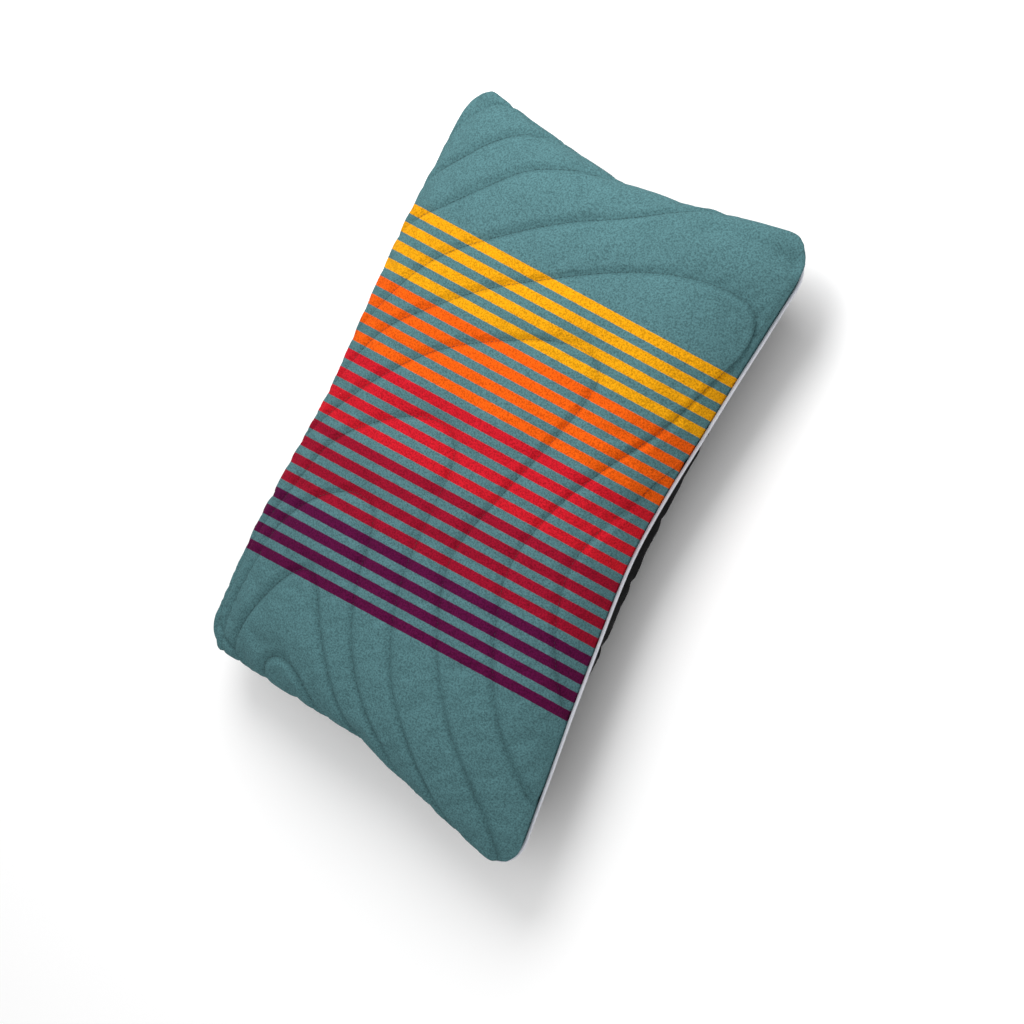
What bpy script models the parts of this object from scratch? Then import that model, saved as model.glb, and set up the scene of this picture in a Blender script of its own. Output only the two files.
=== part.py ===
"""Camp pillow: a quilted case with a fleece front, a woven back and piped edges, closed by a coil zip
across its back end wall, over a fibre-filled insert.

The pillow lies flat on its back. X runs across it, Y along it with the zip at +Y, and Z up out of the
fleece. The origin is the middle of the footprint, on the surface that it rests on. Metres throughout.
"""

import math
from functools import partial

import bmesh
import bpy
import numpy as np

# ---------------------------------------------------------------- driving dimensions
SEAM_Z = 0.045  # height of the piped seam above the surface
FRONT_RISE = 0.050  # fleece crown above the seam
BACK_DROP = 0.048  # back panel's natural depth below the seam, flattened where it rests
RIM_RISE = 0.0022  # each panel starts this far from the seam plane

WAIST = 0.139  # half width of the seam at mid length
TOP_DIP = 0.2075  # distance of the +Y seam from the middle, at its centre
BOTTOM_DIP = 0.2065  # the same for the -Y seam
CORNERS = {  # where the straight seams would meet, before the corners are rounded
    (1, 1): (0.163, 0.227),
    (-1, 1): (-0.147, 0.227),
    (-1, -1): (-0.163, -0.209),
    (1, -1): (0.160, -0.2314),
}
BOW_SHARPNESS = 0.15  # how tightly a side turns at its waist: smaller is more like a V
CORNER_RADIUS = 0.026
NOMINAL_HALF = (0.160, 0.230)  # half width and half length that the corner radius is scaled by

TOP_ROLL = 0.0098  # how far the front rolls out over the +Y seam
BOTTOM_ROLL = 0.0018  # and over the -Y seam
ROLL_HEIGHT = 0.006  # height above the seam at which the roll is full

DEEP_WAIST = 0.1475  # half width of the back panel at mid length, where it bulges past the seam
DEEP_ENDS = (0.2095, 0.2045)  # distances of its +Y and -Y ends, below the seam
DEEP_PULL = (0.010, 0.016)  # how far its corners pull in there, in X and Y
DEEP_START = 0.014  # depth below the seam at which that outline is reached

CROWN_POWER_X = 3.3  # superellipse power of the section across the front
CROWN_POWER_Y = 4.0  # and of the section along it
BACK_POWERS = (5.0, 5.5)  # of the back: a plain power curve across, a superellipse along
FRONT_PINCH = (0.75, 1.5)  # how much and how suddenly the front corners flatten
BACK_PINCH = (0.60, 3.0)

FLEECE = 0.0015  # fabric and filling thicknesses
BATTING = 0.0025
LINING = 0.0005
RIPSTOP = 0.0006
GAP = 0.0003  # clearance between neighbouring pieces
PLY_GAP = 0.0009  # and between the layers of a panel, which bend together
PADDING_TRIM = 2  # cells by which batting and lining stop short of the seam

PIPING_OFFSET = 0.0023  # the piping's centre line, outside the panels' edge
CORD_RADIUS = 0.0011
COVER_INNER = 0.0015
COVER_OUTER = 0.0019
FLANGE_WIDTH = 0.008
FLANGE_THICKNESS = 0.0005

ZIP_Z = 0.026  # height of the zip's centre line
ZIP_Y = 0.2025  # outer face of its tapes
ROW_ENDS = (-0.0755, 0.0865)  # where the rows of teeth begin and end; the tapes run on past both
WINDOW_HALF = 0.0065  # half height of the slot in the back panel that shows the zip
SLOT_END = 0.68  # where it has closed, as a fraction of the panel's half width
SLOT_TAPER = 0.06  # over which it closes
SLOT_SHIFT = 0.05  # of its middle towards -X, because the corners differ
TAPE_HALF_LENGTH = 0.0895
TAPE_WIDTH = 0.007
TAPE_THICKNESS = 0.0006
ROW_GAP = 0.0012  # between the two rows of teeth, which the slider's neck runs in
COIL_RADIUS = 0.00075
TOP_STOP = (0.0024, 0.0015, 0.0017)  # the small metal stops at the ends of the rows
BOTTOM_STOP = (0.0030, 0.0015, 0.0044)
STOP_BEVEL = 0.0003

SLIDER_X = 0.080  # the slider's centre when the zip is closed
SLIDER_LENGTH = 0.0085
SLIDER_WIDTH = 0.0070
PLATE = 0.0012  # thickness of each slider plate
NECK = 0.0006
BRIDGE_HALF = 0.0032
BRIDGE_OPENING = 0.0020
BRIDGE_BAR = 0.0008
BRIDGE_WIDTH = 0.0016
BRIDGE_ROOT = 0.0003  # how far the bridge's posts run into the plate
NECK_LENGTH = 0.003
NECK_SHIFT = 0.0025  # the neck stands towards the closing end of the plates
PLATE_BEVEL = 0.0004
TAB_LENGTH = 0.022
TAB_WIDTH = 0.0058
TAB_THICKNESS = 0.0012
TAB_HOLE = (0.0041, 0.0024)  # from the crossbar to the hole's far end, and the hole's width

INSERT_INSET = 0.012  # the insert's seam inside the case's seam
INSERT_PULL = 0.026  # how far its corners pull in
INSERT_RISE = 0.041  # its crown above the seam plane
INSERT_DROP = 0.037  # its depth below it
INSERT_CLOTH = 0.0006
INSERT_RIM = 0.0009  # each cover starts this far from the seam plane

LABEL_PLACE = (0.056, 0.1986, 0.027)
LABEL_SIZE = (0.030, 0.0004, 0.018)

PANEL_CELLS = (14, 18)  # across and along a panel
FACING_CELLS = (14, 3)
INSERT_CELLS = (10, 14)


# ---------------------------------------------------------------- scene and materials
def clear_scene():
    for thing in list(bpy.data.objects):
        bpy.data.objects.remove(thing)


def new_collection(name):
    collection = bpy.data.collections.new(name)
    bpy.context.scene.collection.children.link(collection)
    return collection


def material(name, colour, roughness, metallic=0.0):
    made = bpy.data.materials.new(name)
    made.use_nodes = True
    shader = made.node_tree.nodes["Principled BSDF"]
    shader.inputs["Base Color"].default_value = (*colour, 1.0)
    shader.inputs["Roughness"].default_value = roughness
    shader.inputs["Metallic"].default_value = metallic
    return made


clear_scene()
PARTS = new_collection("camp_pillow")
CUTTERS = new_collection("cutters")
TEAL_FLEECE = material("teal_fleece", (0.085, 0.185, 0.200), 0.95)
BLACK_RIPSTOP = material("black_ripstop", (0.012, 0.012, 0.013), 0.60)
PIPING_WHITE = material("piping_white", (0.62, 0.68, 0.70), 0.70)
CORD_WHITE = material("cord_white", (0.75, 0.75, 0.72), 0.85)
BATTING_WHITE = material("batting_white", (0.80, 0.80, 0.78), 0.95)
LINING_GREY = material("lining_grey", (0.20, 0.21, 0.22), 0.80)
INSERT_GREY = material("insert_grey", (0.45, 0.47, 0.48), 0.80)
ZIP_BLACK = material("zip_black", (0.015, 0.015, 0.016), 0.55)
SLIDER_METAL = material("slider_metal", (0.055, 0.055, 0.060), 0.35, 1.0)
LABEL_WHITE = material("label_white", (0.80, 0.80, 0.80), 0.60)


# ---------------------------------------------------------------- the pillow's surface
def bow(t):
    """0 at the middle of a side and 1 at its corners, nearly straight in between."""
    e = BOW_SHARPNESS
    return (np.sqrt(t * t + e * e) - e) / (math.sqrt(1 + e * e) - e)


def superellipse(t, power):
    return np.clip(1 - np.abs(t) ** power, 0, None) ** (1 / power)


def arc_table(power, half, high):
    """Shares of the arc length of a superellipse's quarter, and the plan position at each."""
    angle = np.linspace(math.pi / 2, 0, 600)
    x = np.cos(angle) ** (2 / power)
    z = np.sin(angle) ** (2 / power)
    run = np.concatenate([[0], np.cumsum(np.hypot(half * np.diff(x), high * np.diff(z)))])
    return run / run[-1], x


ARC_X = arc_table(CROWN_POWER_X, WAIST, FRONT_RISE)
ARC_Y = arc_table(CROWN_POWER_Y, TOP_DIP, FRONT_RISE)


def plan_fractions(sigma, tau):
    """Plan fractions of a point given in fabric fractions: cloth that turns down the walls is
    spaced by its arc length in the middle of each side, and evenly at the flat corners."""
    along_x = np.sign(sigma) * np.interp(np.abs(sigma), *ARC_X)
    along_y = np.sign(tau) * np.interp(np.abs(tau), *ARC_Y)
    s = sigma + (along_x - sigma) * (1 - tau**6)
    t = tau + (along_y - tau) * (1 - sigma**6)
    return s, t


def round_corner(s, t, radius=CORNER_RADIUS):
    """Maps the square where a corner's two sides meet onto a quarter disc."""
    rs, rt = radius / NOMINAL_HALF[0], radius / NOMINAL_HALF[1]
    ds = np.clip((np.abs(s) - (1 - rs)) / rs, 0, 1)
    dt = np.clip((np.abs(t) - (1 - rt)) / rt, 0, 1)
    inside = (ds > 0) & (dt > 0)
    s_round = np.sign(s) * (1 - rs + rs * ds * np.sqrt(1 - dt * dt / 2))
    t_round = np.sign(t) * (1 - rt + rt * dt * np.sqrt(1 - ds * ds / 2))
    return np.where(inside, s_round, s), np.where(inside, t_round, t)


def outline_point(s, t, waist=WAIST, ends=(TOP_DIP, BOTTOM_DIP), inset=0.0, pull=(0.0, 0.0)):
    """Plan position of fractions (s, t), between four bowed sides. pull brings the corners in."""
    s, t = round_corner(s, t)

    def corner(a, b):
        x, y = CORNERS[(a, b)]
        return x - a * pull[0], y - b * pull[1]

    reach = waist - inset
    top, bottom = ends[0] - inset, ends[1] - inset
    right = reach + (np.where(t > 0, corner(1, 1)[0], corner(1, -1)[0]) - reach) * bow(t)
    left = -reach + (np.where(t > 0, corner(-1, 1)[0], corner(-1, -1)[0]) + reach) * bow(t)
    far = top + (np.where(s > 0, corner(1, 1)[1], corner(-1, 1)[1]) - top) * bow(s)
    near = -bottom + (np.where(s > 0, corner(1, -1)[1], corner(-1, -1)[1]) + bottom) * bow(s)
    x = (left * (1 - s) + right * (1 + s)) / 2
    y = (near * (1 - t) + far * (1 + t)) / 2
    return x, y


def crown(s, t, pinch):
    """Height share of the dome: 1 in the middle, 0 at the seam, pinched flat at the corners."""
    amount, power = pinch
    dome = superellipse(s, CROWN_POWER_X) * superellipse(t, CROWN_POWER_Y)
    return dome * (1 - amount * (s * s * t * t) ** power)


def smoothstep(x):
    x = np.clip(x, 0, 1)
    return x * x * (3 - 2 * x)


def front_surface(sigma, tau):
    """The front rolls out over the seams of its two ends."""
    s, t = plan_fractions(sigma, tau)
    x, y = outline_point(s, t)
    rise = (FRONT_RISE - RIM_RISE) * crown(s, t, FRONT_PINCH)
    roll = np.where(t > 0, TOP_ROLL, -BOTTOM_ROLL) * np.abs(t) ** 6
    return np.stack([x, y + roll * smoothstep(rise / ROLL_HEIGHT), SEAM_Z + RIM_RISE + rise], axis=-1)


def back_surface(sigma, tau):
    """The back slopes in under the seam, bulges past it at mid length, and is flat where it rests."""
    s, t = plan_fractions(sigma, tau)
    amount, power = BACK_PINCH
    section = (1 - np.abs(s) ** BACK_POWERS[0]) * superellipse(t, BACK_POWERS[1])
    drop = (BACK_DROP - RIM_RISE) * section * (1 - amount * (s * s * t * t) ** power)
    x, y = outline_point(s, t)
    deep_x, deep_y = outline_point(s, t, DEEP_WAIST, DEEP_ENDS, pull=DEEP_PULL)
    share = smoothstep(drop / DEEP_START)
    z = np.maximum(SEAM_Z - RIM_RISE - drop, 0.0)
    return np.stack([x + (deep_x - x) * share, y + (deep_y - y) * share, z], axis=-1)


def insert_surface(sigma, tau, rise, rim):
    """The insert: a smaller pillow on the same seam plane. A negative rise is its underside."""
    s, t = plan_fractions(sigma, tau)
    x, y = outline_point(s, t, inset=INSERT_INSET, pull=(INSERT_PULL, INSERT_PULL))
    z = SEAM_Z + rim + (rise - rim) * crown(s, t, FRONT_PINCH)
    return np.stack([x, y, z], axis=-1)


# ---------------------------------------------------------------- mesh helpers
def finish_object(thing, collection, paint=None):
    for old in list(thing.users_collection):
        old.objects.unlink(thing)
    collection.objects.link(thing)
    if paint is not None:
        thing.data.materials.append(paint)
    return thing


def mesh_object(name, mesh_builder, paint, collection=PARTS):
    mesh = bpy.data.meshes.new(name)
    bm = bmesh.new()
    mesh_builder(bm)
    bm.to_mesh(mesh)
    bm.free()
    return finish_object(bpy.data.objects.new(name, mesh), collection, paint)


def eased(u):
    """Spaces grid lines closer towards the edges."""
    return np.sin(u * math.pi / 2)


def solidify(thing, thickness):
    shell = thing.modifiers.new("thickness", "SOLIDIFY")
    shell.thickness = thickness
    shell.offset = -1.0
    return thing


def shade_smooth(thing, angle=40):
    thing.data.shade_smooth()
    thing.data.set_sharp_from_angle(angle=math.radians(angle))
    return thing


def whole_panel(sigma):
    """Fabric fractions along Y at which a panel starts and ends, for each sigma."""
    return np.full_like(sigma, -1.0), np.full_like(sigma, 1.0)


def sheet(name, surface, paint, thickness, upward, depth=0.0, limits=whole_panel, cells=PANEL_CELLS, trim=0):
    """A cloth or batting layer: an open grid laid depth inside a surface, without its outermost
    trim cells, and thickened inward. Layers of one panel share its grid, so they nest."""

    def build(bm):
        bmesh.ops.create_grid(bm, x_segments=cells[0], y_segments=cells[1], size=1.0)
        flat = np.array([v.co for v in bm.verts])
        sigma = eased(flat[:, 0])
        low, high = limits(sigma)
        tau = low + (high - low) * (eased(flat[:, 1]) + 1) / 2
        for vertex, place in zip(bm.verts, surface(sigma, tau)):
            vertex.co = place
        if not upward:
            bmesh.ops.reverse_faces(bm, faces=bm.faces[:])
        bm.normal_update()
        for vertex in bm.verts:
            vertex.co -= vertex.normal * depth
        for _ in range(trim):
            rim = [v for v in bm.verts if v.is_boundary]
            bmesh.ops.delete(bm, geom=rim, context="VERTS")

    return solidify(shade_smooth(mesh_object(name, build, paint)), thickness)


def box(name, centre, size, paint, collection=PARTS, bevel=0.0):
    """A box from Blender's cube, with its scale applied and its edges rounded."""

    def build(bm):
        bmesh.ops.create_cube(bm, size=1.0)
        bmesh.ops.scale(bm, vec=size, verts=bm.verts[:])

    made = mesh_object(name, build, paint, collection)
    made.location = centre
    if bevel:
        rounding = made.modifiers.new("rounded_edges", "BEVEL")
        rounding.width = bevel
        rounding.segments = 2
    return made


def boolean(thing, other, operation):
    """Joins or cuts a finished body, and keeps the tool piece out of the model."""
    other.hide_render = True
    other.display_type = "WIRE"
    step = thing.modifiers.new(operation.lower(), "BOOLEAN")
    step.operation = operation
    step.object = other
    return thing


def poly_curve(name, points, cyclic, dimensions="3D"):
    curve = bpy.data.curves.new(name, "CURVE")
    curve.dimensions = dimensions
    spline = curve.splines.new("POLY")
    spline.points.add(len(points) - 1)
    for target, point in zip(spline.points, points):
        target.co = (*point, 1.0)
    spline.use_cyclic_u = cyclic
    return bpy.data.objects.new(name, curve)


# ---------------------------------------------------------------- the zip's slot in the back panel
def slot_edge(sigma, side):
    """Fabric fraction along Y of the slot's lower (-1) or upper (+1) edge. The edge is level beside
    the zip, and closes to a plain seam towards the sides of the pillow."""
    tau = np.linspace(0.60, 1.0, 500)
    beside = np.abs(sigma + SLOT_SHIFT)
    opening = smoothstep((SLOT_END - beside) / SLOT_TAPER)
    half = GAP + (WINDOW_HALF - GAP) * opening
    level = np.array(
        [np.interp(ZIP_Z + side * h, back_surface(s, tau)[:, 2], tau) for s, h in zip(sigma, half)]
    )
    middle = np.interp(ZIP_Z, back_surface(0.0, tau)[:, 2], tau)
    plain = middle + side * 1.3 * GAP / DEEP_ENDS[0]
    settle = smoothstep((beside - SLOT_END + SLOT_TAPER) / (2 * SLOT_TAPER))
    return level + (plain - level) * settle


def main_limits(sigma):
    return np.full_like(sigma, -1.0), slot_edge(sigma, -1)


def facing_limits(sigma):
    return slot_edge(sigma, +1), np.full_like(sigma, 1.0)


# ---------------------------------------------------------------- case
def padded_panel(side, outer, surface, outer_paint, outer_thickness, upward, limits):
    """A quilted panel: outer fabric, batting and lining, one inside the other."""
    sheet(outer, surface, outer_paint, outer_thickness, upward, limits=limits)
    depth = outer_thickness + PLY_GAP
    for layer, paint, thickness in (
        ("batting", BATTING_WHITE, BATTING),
        ("lining", LINING_GREY, LINING),
    ):
        sheet(f"{side}_{layer}", surface, paint, thickness, upward, depth, limits, trim=PADDING_TRIM)
        depth += thickness + PLY_GAP


def build_panels():
    padded_panel(
        "front", "front_fleece_panel", front_surface, TEAL_FLEECE, FLEECE, True, whole_panel
    )
    padded_panel("back", "back_panel", back_surface, BLACK_RIPSTOP, RIPSTOP, False, main_limits)
    sheet(
        "zip_facing", back_surface, BLACK_RIPSTOP, RIPSTOP, False, limits=facing_limits, cells=FACING_CELLS
    )


def seam_loop(count_x, count_y, offset):
    """Points of the seam's outline, anticlockwise from above, moved outward by offset."""
    u = eased(np.linspace(-1, 1, count_x, endpoint=False))
    v = eased(np.linspace(-1, 1, count_y, endpoint=False))
    s = np.concatenate([u, np.ones(count_y), -u, -np.ones(count_y)])
    t = np.concatenate([-np.ones(count_x), v, np.ones(count_x), -v])
    line = np.stack(outline_point(s, t), axis=-1)
    along = np.roll(line, -1, axis=0) - np.roll(line, 1, axis=0)
    along /= np.linalg.norm(along, axis=1, keepdims=True)
    outward = np.stack([along[:, 1], -along[:, 0]], axis=-1)
    line = line + outward * offset
    return [(x, y, SEAM_Z) for x, y in line]


def cover_profile():
    """A C round the cord, open towards the pillow, whose lower lip runs on as the sewn flange."""
    opening = math.radians(16)
    angles = np.linspace(math.pi - opening, -math.pi + opening, 9)
    outer = [(COVER_OUTER * math.cos(a), COVER_OUTER * math.sin(a)) for a in angles]
    inner = [(COVER_INNER * math.cos(a), COVER_INNER * math.sin(a)) for a in reversed(angles)]
    low = outer[-1][1]
    flange = [
        (-PIPING_OFFSET, low),
        (-PIPING_OFFSET - FLANGE_WIDTH, -FLANGE_THICKNESS / 2),
        (-PIPING_OFFSET - FLANGE_WIDTH, FLANGE_THICKNESS / 2 - 0.0002),
        (-PIPING_OFFSET, low + FLANGE_THICKNESS),
    ]
    points = outer + flange + inner
    return [(x, y, 0.0) for x, y in points]


def build_piping():
    path = seam_loop(20, 26, PIPING_OFFSET)
    core = poly_curve("piping_core", path, True)
    core.data.bevel_depth = CORD_RADIUS
    core.data.bevel_resolution = 2
    finish_object(core, PARTS, CORD_WHITE)
    profile = finish_object(poly_curve("piping_profile", cover_profile(), True, "2D"), CUTTERS)
    profile.hide_render = True
    cover = poly_curve("piping_cover", path, True)
    cover.data.twist_mode = "Z_UP"
    cover.data.bevel_mode = "OBJECT"
    cover.data.bevel_object = profile
    finish_object(cover, PARTS, PIPING_WHITE)


# ---------------------------------------------------------------- zip
def build_tapes_and_teeth():
    for name, side in (("upper", 1), ("lower", -1)):
        tape_z = ZIP_Z + side * (ROW_GAP + TAPE_WIDTH) / 2
        box(
            f"zip_tape_{name}",
            (0, ZIP_Y - TAPE_THICKNESS / 2, tape_z),
            (2 * TAPE_HALF_LENGTH, TAPE_THICKNESS, TAPE_WIDTH),
            ZIP_BLACK,
        )
        row_z = ZIP_Z + side * (ROW_GAP / 2 + COIL_RADIUS)
        row_y = ZIP_Y + GAP + COIL_RADIUS
        line = [(x, row_y, row_z) for x in ROW_ENDS]
        row = poly_curve(f"zip_coil_{name}", line, False)
        row.data.bevel_depth = COIL_RADIUS
        row.data.bevel_resolution = 2
        row.data.use_fill_caps = True
        finish_object(row, PARTS, ZIP_BLACK)


def build_stops():
    y = ZIP_Y + GAP + COIL_RADIUS
    for name, side in (("upper", 1), ("lower", -1)):
        z = ZIP_Z + side * (ROW_GAP / 2 + COIL_RADIUS)
        x = ROW_ENDS[1] + GAP + TOP_STOP[0] / 2
        box(f"zip_top_stop_{name}", (x, y, z), TOP_STOP, SLIDER_METAL, bevel=STOP_BEVEL)
    x = ROW_ENDS[0] - GAP - BOTTOM_STOP[0] / 2
    box("zip_bottom_stop", (x, y, ZIP_Z), BOTTOM_STOP, SLIDER_METAL, bevel=STOP_BEVEL)


def plate_levels():
    """Y of the slider's inner plate, its outer plate and the middle of its bridge's opening."""
    inner = ZIP_Y - TAPE_THICKNESS - GAP - PLATE / 2
    outer = ZIP_Y + GAP + 2 * COIL_RADIUS + GAP + PLATE / 2
    pivot = outer + PLATE / 2 + BRIDGE_OPENING / 2
    return inner, outer, pivot


def build_slider():
    """Two plates joined by a thin neck that runs between the rows, with a bridge for the tab."""
    inner, outer, pivot = plate_levels()
    plate = (SLIDER_LENGTH, PLATE, SLIDER_WIDTH)
    body = box("zip_slider", (SLIDER_X, outer, ZIP_Z), plate, SLIDER_METAL, bevel=PLATE_BEVEL)
    neck_place = (SLIDER_X + NECK_SHIFT, (inner + outer) / 2, ZIP_Z)
    top = outer + PLATE / 2 + BRIDGE_OPENING
    bar_place = (SLIDER_X, top + BRIDGE_BAR / 2, ZIP_Z)
    pieces = [
        ("slider_inner_plate", (SLIDER_X, inner, ZIP_Z), plate),
        ("slider_neck", neck_place, (NECK_LENGTH, outer - inner, NECK)),
        ("slider_bridge_bar", bar_place, (2 * BRIDGE_HALF, BRIDGE_BAR, BRIDGE_WIDTH)),
    ]
    low, high = outer + PLATE / 2 - BRIDGE_ROOT, top + BRIDGE_BAR / 2
    for name, side in (("left", -1), ("right", 1)):
        x = SLIDER_X + side * (BRIDGE_HALF - BRIDGE_BAR / 2)
        size = (BRIDGE_BAR, high - low, BRIDGE_WIDTH)
        pieces.append((f"slider_post_{name}", (x, (low + high) / 2, ZIP_Z), size))
    for name, centre, size in pieces:
        boolean(body, box(name, centre, size, None, CUTTERS), "UNION")


def build_tab():
    """The pull tab, drawn flat and hung on the slider's bridge by its crossbar."""
    pivot = plate_levels()[2]
    bar = TAB_THICKNESS / 2
    far, half_hole = TAB_HOLE[0] + bar, TAB_HOLE[1] / 2
    half = TAB_WIDTH / 2
    curve = bpy.data.curves.new("zip_pull_tab", "CURVE")
    curve.dimensions = "2D"
    curve.fill_mode = "BOTH"
    curve.extrude = TAB_THICKNESS / 2
    end = [
        (-TAB_LENGTH + half * (1 - math.cos(a)), -half * math.sin(a))
        for a in np.linspace(-math.pi / 2, math.pi / 2, 9)
    ]
    outline = [(bar, -half), (bar, half), *end]
    hole = [(-bar, half_hole), (-bar, -half_hole), (-far, -half_hole), (-far, half_hole)]
    for points in (outline, hole):
        spline = curve.splines.new("POLY")
        spline.points.add(len(points) - 1)
        for target, (x, y) in zip(spline.points, points):
            target.co = (x, y, 0.0, 1.0)
        spline.use_cyclic_u = True
    tab = finish_object(bpy.data.objects.new("zip_pull_tab", curve), PARTS, SLIDER_METAL)
    tab.location = (SLIDER_X, pivot, ZIP_Z)
    tab.rotation_euler = (math.pi / 2, 0, 0)


# ---------------------------------------------------------------- insert and label
def build_insert_cover():
    for name, rise in (("top", INSERT_RISE), ("bottom", -INSERT_DROP)):
        rim = math.copysign(INSERT_RIM, rise)
        surface = partial(insert_surface, rise=rise, rim=rim)
        sheet(f"insert_cover_{name}", surface, INSERT_GREY, INSERT_CLOTH, rise > 0, cells=INSERT_CELLS)


def build_insert_fill():
    """One closed body inside the two covers: an upper and a lower grid welded along their rims."""
    depth = INSERT_CLOTH + 2 * GAP

    def fill_surface(sigma, tau, rise):
        s, t = plan_fractions(sigma, tau)
        pull = INSERT_PULL + depth
        x, y = outline_point(s, t, inset=INSERT_INSET + depth, pull=(pull, pull))
        level = (rise - math.copysign(depth, rise)) * crown(s, t, FRONT_PINCH)
        return np.stack([x, y, SEAM_Z + level], axis=-1)

    def build(bm):
        for rise in (INSERT_RISE, -INSERT_DROP):
            columns, rows = INSERT_CELLS
            grid = bmesh.ops.create_grid(bm, x_segments=columns, y_segments=rows, size=1.0)["verts"]
            flat = np.array([v.co for v in grid])
            place = fill_surface(eased(flat[:, 0]), eased(flat[:, 1]), rise)
            for vertex, point in zip(grid, place):
                vertex.co = point
        bmesh.ops.remove_doubles(bm, verts=bm.verts[:], dist=1e-6)
        bmesh.ops.recalc_face_normals(bm, faces=bm.faces[:])

    shade_smooth(mesh_object("insert_fill", build, BATTING_WHITE))


def build_label():
    """A blank label, sewn inside by the zip."""
    box("care_label", LABEL_PLACE, LABEL_SIZE, LABEL_WHITE)


build_panels()
build_piping()
build_tapes_and_teeth()
build_stops()
build_slider()
build_tab()
build_insert_cover()
build_insert_fill()
build_label()
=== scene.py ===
"""Visual model of the camp pillow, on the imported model's frame.

A panel of cloth is laid out in fabric millimetres, u across it and v along it, from the middle of a flat
336 x 480 mm panel. sigma and tau are the same as fractions of its half sizes, and s and t are fractions of
the pillow's plan. Everything else is in metres.
"""

import math

import bmesh
import bpy
import numpy as np
from mathutils import Matrix, Vector, noise
from mathutils.bvhtree import BVHTree
from mathutils.kdtree import KDTree


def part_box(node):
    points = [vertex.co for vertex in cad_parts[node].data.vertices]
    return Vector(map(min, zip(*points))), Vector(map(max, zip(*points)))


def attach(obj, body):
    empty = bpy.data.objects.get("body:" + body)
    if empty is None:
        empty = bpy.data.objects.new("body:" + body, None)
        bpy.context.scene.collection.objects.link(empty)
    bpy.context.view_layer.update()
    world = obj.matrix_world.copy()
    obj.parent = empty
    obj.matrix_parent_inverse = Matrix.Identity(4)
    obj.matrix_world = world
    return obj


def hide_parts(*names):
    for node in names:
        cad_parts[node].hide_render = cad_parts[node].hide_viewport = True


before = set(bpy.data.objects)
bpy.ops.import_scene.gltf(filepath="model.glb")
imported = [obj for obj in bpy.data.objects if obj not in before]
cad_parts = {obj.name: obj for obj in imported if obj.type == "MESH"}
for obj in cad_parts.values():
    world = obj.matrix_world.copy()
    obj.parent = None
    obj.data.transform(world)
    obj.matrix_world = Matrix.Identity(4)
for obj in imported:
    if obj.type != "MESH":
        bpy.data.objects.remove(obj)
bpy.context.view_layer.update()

scene = bpy.context.scene

# ---------------------------------------------------------------- camera
TARGET = Vector((0.0267, -0.0210, 0.0330))
TOWARDS_CAMERA = Vector((0.5615, 0.1235, 0.8182)).normalized()
DISTANCE = 2.163
ROLL = math.radians(25.19)


def make_camera():
    level_up = (Vector((0, 1, 0)) - TOWARDS_CAMERA * TOWARDS_CAMERA.y).normalized()
    level_right = level_up.cross(TOWARDS_CAMERA)
    up = level_up * math.cos(ROLL) - level_right * math.sin(ROLL)
    right = level_right * math.cos(ROLL) + level_up * math.sin(ROLL)
    camera = bpy.data.objects.new("camera", bpy.data.cameras.new("camera"))
    scene.collection.objects.link(camera)
    camera.data.lens = 110
    camera.data.sensor_width = 36
    camera.data.clip_end = 20
    turn = Matrix((right, up, TOWARDS_CAMERA)).transposed().to_4x4()
    camera.matrix_world = Matrix.Translation(TARGET + TOWARDS_CAMERA * DISTANCE) @ turn
    scene.camera = camera
    return right, up


CAMERA_RIGHT, CAMERA_UP = make_camera()

# ---------------------------------------------------------------- dimensions, in metres
SEAM_Z = (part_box("piping_core")[0][2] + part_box("piping_core")[1][2]) / 2
FRONT_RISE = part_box("front_fleece_panel")[1][2] - SEAM_Z
BACK_DROP = 0.048  # depth of the back below the seam, before it is flattened where it rests
RIM_RISE = 0.0022  # each panel starts this far from the seam plane
WAIST = 0.139  # half width of the seam at mid length
TOP_DIP = 0.2075  # distance of the +Y seam from the middle, at its centre
BOTTOM_DIP = 0.2065  # the same for the -Y seam
CORNERS = {  # where the straight seams would meet, before the corners are rounded
    (1, 1): (0.1665, 0.2278),
    (-1, 1): (-0.147, 0.227),
    (-1, -1): (-0.163, -0.209),
    (1, -1): (0.1615, -0.2332),
}
BOW_SHARPNESS = 0.15  # how tightly a side turns at its waist
CORNER_RADIUS = 0.026
NOMINAL_HALF = (0.160, 0.230)  # half width and half length that the corner radius is scaled by
TOP_ROLL = 0.0098  # how far the front rolls out over the +Y seam
BOTTOM_ROLL = 0.0018  # and over the -Y seam
ROLL_HEIGHT = 0.006  # height above the seam at which the roll is full
CORNER_ROLLS = {  # how far the front rolls out over the seam at its corners, along X and along Y
    (1, 1): (0.0055, 0.0025),
    (-1, 1): (0.0010, 0.0030),
    (-1, -1): (0.0020, -0.0045),
    (1, -1): (0.0055, -0.0020),
}
DEEP_WAIST = 0.1475  # half width of the back at mid length, where it bulges past the seam
DEEP_ENDS = (0.2095, 0.2045)  # distances of its +Y and -Y ends, below the seam
DEEP_PULL = (0.010, 0.016)  # how far its corners pull in there, in X and Y
DEEP_START = 0.014  # depth below the seam at which that outline is reached
BACK_POWERS = (5.0, 5.5)  # section of the back: a plain power curve across, a superellipse along
CROWN_POWER_X = 3.3  # superellipse power of the section across the front
CROWN_POWER_Y = 4.0  # and of the section along it
FRONT_PINCH = (0.75, 1.5)  # how much and how suddenly the front corners flatten
BACK_PINCH = (0.60, 3.0)
EDGE_TUCK = 0.0006  # how far a panel's edge turns in under itself at the seam
TUCK_HEIGHT = 0.0002  # height above or below the seam that it turns in to
PIPING_OFFSET = 0.0014  # of its middle outside the panels' edge
PIPING_RADIUS = 0.0012
PIPING_RISE = 0.0007  # of its middle above the seam
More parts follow.
